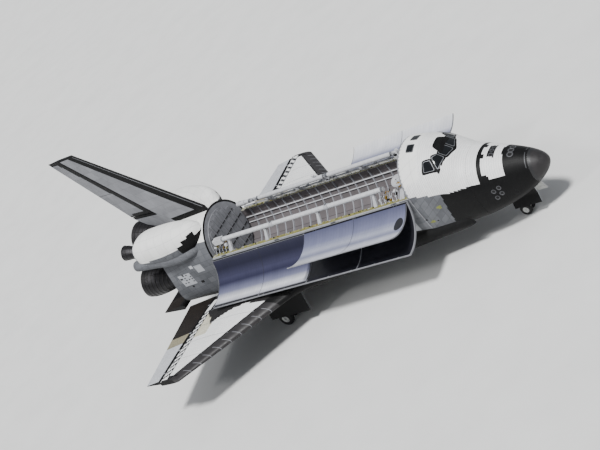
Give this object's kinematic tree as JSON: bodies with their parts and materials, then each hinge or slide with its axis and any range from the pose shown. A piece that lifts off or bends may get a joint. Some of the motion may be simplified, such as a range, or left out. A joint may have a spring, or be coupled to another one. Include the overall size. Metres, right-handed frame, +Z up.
{
  "type": "space shuttle orbiter",
  "caption": "Delta-winged space shuttle orbiter parked on its landing gear, payload bay doors open, with manipulator arm, sensor boom, control surfaces and side hatch that move.",
  "frame": {"origin": "on the ground, under the middle of the whole vehicle's box", "axes": "+X towards the nose, +Y to port, +Z up; the airframe stands 3 degrees nose-down on its wheels"},
  "size_m": [36.5534, 23.79, 17.25],
  "materials": {
    "white_blanket": "matte",
    "black_tile": "satin",
    "carbon_edge": "satin",
    "bay_liner": "matte",
    "radiator_silver": "gloss",
    "bare_metal": "satin",
    "engine_metal": "satin",
    "window_glass": "gloss",
    "strut_white": "satin",
    "tyre_rubber": "matte",
    "cabin_grey": "matte"
  },
  "bodies": {
    "airframe": {"aft_bulkhead": "bay_liner", "aft_fuselage": "white_blanket", "aft_glass": "window_glass", "arm_shoulder": "strut_white", "cabin_bulkhead": "bay_liner", "cabin_glass": "window_glass", "crew_cabin": "white_blanket", "dish_antenna": "bare_metal", "flight_deck": "cabin_grey", "forward_fuselage": "white_blanket", "leading_edge_port": "carbon_edge", "leading_edge_starboard": "carbon_edge", "main_engine_port": "engine_metal", "main_engine_starboard": "engine_metal", "main_engine_upper": "engine_metal", "main_gear_door_port": "black_tile", "main_gear_door_starboard": "black_tile", "main_leg_port": "strut_white", "main_leg_starboard": "strut_white", "mid_fuselage": "white_blanket", "nose_cap": "carbon_edge", "nose_gear_door_port": "black_tile", "nose_gear_door_starboard": "black_tile", "nose_leg": "strut_white", "oms_engine_port": "engine_metal", "oms_engine_starboard": "engine_metal", "oms_pod_port": "white_blanket", "oms_pod_starboard": "white_blanket", "sensor_boom": "strut_white", "vertical_fin": "white_blanket", "wing_port": "white_blanket", "wing_starboard": "white_blanket"},
    "door_port": {"payload_door_port": "white_blanket", "radiator_aft_port": "radiator_silver"},
    "door_starboard": {"payload_door_starboard": "white_blanket", "radiator_aft_starboard": "radiator_silver"},
    "radiator_port": {"radiator_forward_port": "radiator_silver"},
    "radiator_starboard": {"radiator_forward_starboard": "radiator_silver"},
    "hatch": {"side_hatch": "white_blanket"},
    "elevon_inboard_left": {"elevon_inboard_port": "white_blanket"},
    "elevon_inboard_right": {"elevon_inboard_starboard": "white_blanket"},
    "elevon_outboard_left": {"elevon_outboard_port": "white_blanket"},
    "elevon_outboard_right": {"elevon_outboard_starboard": "white_blanket"},
    "flap": {"body_flap": "black_tile"},
    "rudder_left": {"rudder_port": "white_blanket"},
    "rudder_right": {"rudder_starboard": "white_blanket"},
    "upper_arm": {"arm_upper": "strut_white"},
    "lower_arm": {"arm_lower": "strut_white"},
    "end_effector": {"arm_end_effector": "strut_white"},
    "nose_fork": {"nose_steering_fork": "bare_metal"},
    "nose_wheels": {"nose_wheels_axle": "bare_metal", "nose_wheels_tyre_left": "tyre_rubber", "nose_wheels_tyre_right": "tyre_rubber"},
    "main_wheels_left": {"main_wheels_port_axle": "bare_metal", "main_wheels_port_tyre_left": "tyre_rubber", "main_wheels_port_tyre_right": "tyre_rubber"},
    "main_wheels_right": {"main_wheels_starboard_axle": "bare_metal", "main_wheels_starboard_tyre_left": "tyre_rubber", "main_wheels_starboard_tyre_right": "tyre_rubber"}
  },
  "joints": [
    {"name": "payload_door_port", "type": "hinge", "parent": "airframe", "child": "door_port", "pos_m": [0.46438, 2.725, 5.98374], "axis": [0.9986, 0, -0.0523], "range_deg": [0, 175.5]},
    {"name": "payload_door_starboard", "type": "hinge", "parent": "airframe", "child": "door_starboard", "pos_m": [0.46438, -2.725, 5.98374], "axis": [-0.9986, 0, 0.0523], "range_deg": [0, 175.5]},
    {"name": "radiator_port", "type": "hinge", "parent": "door_port", "child": "radiator_port", "pos_m": [5.05065, 2.93581, 5.6968], "axis": [-0.9986, 0, 0.0523], "range_deg": [0, 35.6]},
    {"name": "radiator_starboard", "type": "hinge", "parent": "door_starboard", "child": "radiator_starboard", "pos_m": [5.05065, -2.93581, 5.6968], "axis": [0.9986, 0, -0.0523], "range_deg": [0, 35.6]},
    {"name": "side_hatch", "type": "hinge", "parent": "airframe", "child": "hatch", "pos_m": [11.2188, 2.57385, 3.20709], "axis": [-0.9986, 0, 0.0523], "range_deg": [0, 90]},
    {"name": "elevon_inboard_left", "type": "hinge", "parent": "airframe", "child": "elevon_inboard_left", "pos_m": [-10.98441, 5.455, 3.53606], "axis": [-0.0032, -0.9981, -0.0611], "range_deg": [-35, 20]},
    {"name": "elevon_inboard_right", "type": "hinge", "parent": "airframe", "child": "elevon_inboard_right", "pos_m": [-10.98441, -5.455, 3.53606], "axis": [0.0032, -0.9981, 0.0611], "range_deg": [-35, 20]},
    {"name": "elevon_outboard_left", "type": "hinge", "parent": "airframe", "child": "elevon_outboard_left", "pos_m": [-10.97094, 9.83, 3.79309], "axis": [-0.0029, -0.9985, -0.0554], "range_deg": [-35, 20]},
    {"name": "elevon_outboard_right", "type": "hinge", "parent": "airframe", "child": "elevon_outboard_right", "pos_m": [-10.97094, -9.83, 3.79309], "axis": [0.0029, -0.9985, 0.0554], "range_deg": [-35, 20]},
    {"name": "body_flap", "type": "hinge", "parent": "airframe", "child": "flap", "pos_m": [-14.60555, 0, 3.60918], "axis": [0, -1, 0], "range_deg": [-11.7, 22.5]},
    {"name": "rudder_left", "type": "hinge", "parent": "airframe", "child": "rudder_left", "pos_m": [-15.01638, 0.21632, 13.70452], "axis": [0.526, 0.0203, -0.8502], "range_deg": [0, 49.3]},
    {"name": "rudder_right", "type": "hinge", "parent": "airframe", "child": "rudder_right", "pos_m": [-15.01638, -0.21632, 13.70452], "axis": [-0.526, 0.0203, 0.8502], "range_deg": [0, 49.3]},
    {"name": "arm_shoulder_pitch", "type": "hinge", "parent": "airframe", "child": "upper_arm", "pos_m": [7.1332, 1.93, 6.45537], "axis": [0, -1, 0], "range_deg": [-145, 0]},
    {"name": "arm_elbow_pitch", "type": "hinge", "parent": "upper_arm", "child": "lower_arm", "pos_m": [0.74572, 1.93, 6.47969], "axis": [0, -1, 0], "range_deg": [0, 159.6]},
    {"name": "arm_wrist_pitch", "type": "hinge", "parent": "lower_arm", "child": "end_effector", "pos_m": [-6.28838, 1.93, 7.15876], "axis": [0, -1, 0], "range_deg": [-120, 0]},
    {"name": "nose_steering", "type": "hinge", "parent": "airframe", "child": "nose_fork", "pos_m": [14.59822, 0, 1.38773], "axis": [0.0523, 0, 0.9986], "range_deg": [-10, 10]},
    {"name": "nose_wheel_spin", "type": "hinge", "parent": "nose_fork", "child": "nose_wheels", "pos_m": [14.54658, 0, 0.40253], "axis": [0, 1, 0], "continuous": true},
    {"name": "main_wheel_spin_left", "type": "hinge", "parent": "airframe", "child": "main_wheels_left", "pos_m": [-5.66286, 3.455, 0.56017], "axis": [0, 1, 0], "continuous": true},
    {"name": "main_wheel_spin_right", "type": "hinge", "parent": "airframe", "child": "main_wheels_right", "pos_m": [-5.66286, -3.455, 0.56017], "axis": [0, 1, 0], "continuous": true}
  ],
  "couplings": [
    {"joint": "radiator_port", "follows": "payload_door_port", "ratio": 0.2022},
    {"joint": "radiator_starboard", "follows": "payload_door_starboard", "ratio": 0.2022},
    {"joint": "arm_elbow_pitch", "follows": "arm_shoulder_pitch", "ratio": -1.1}
  ]
}
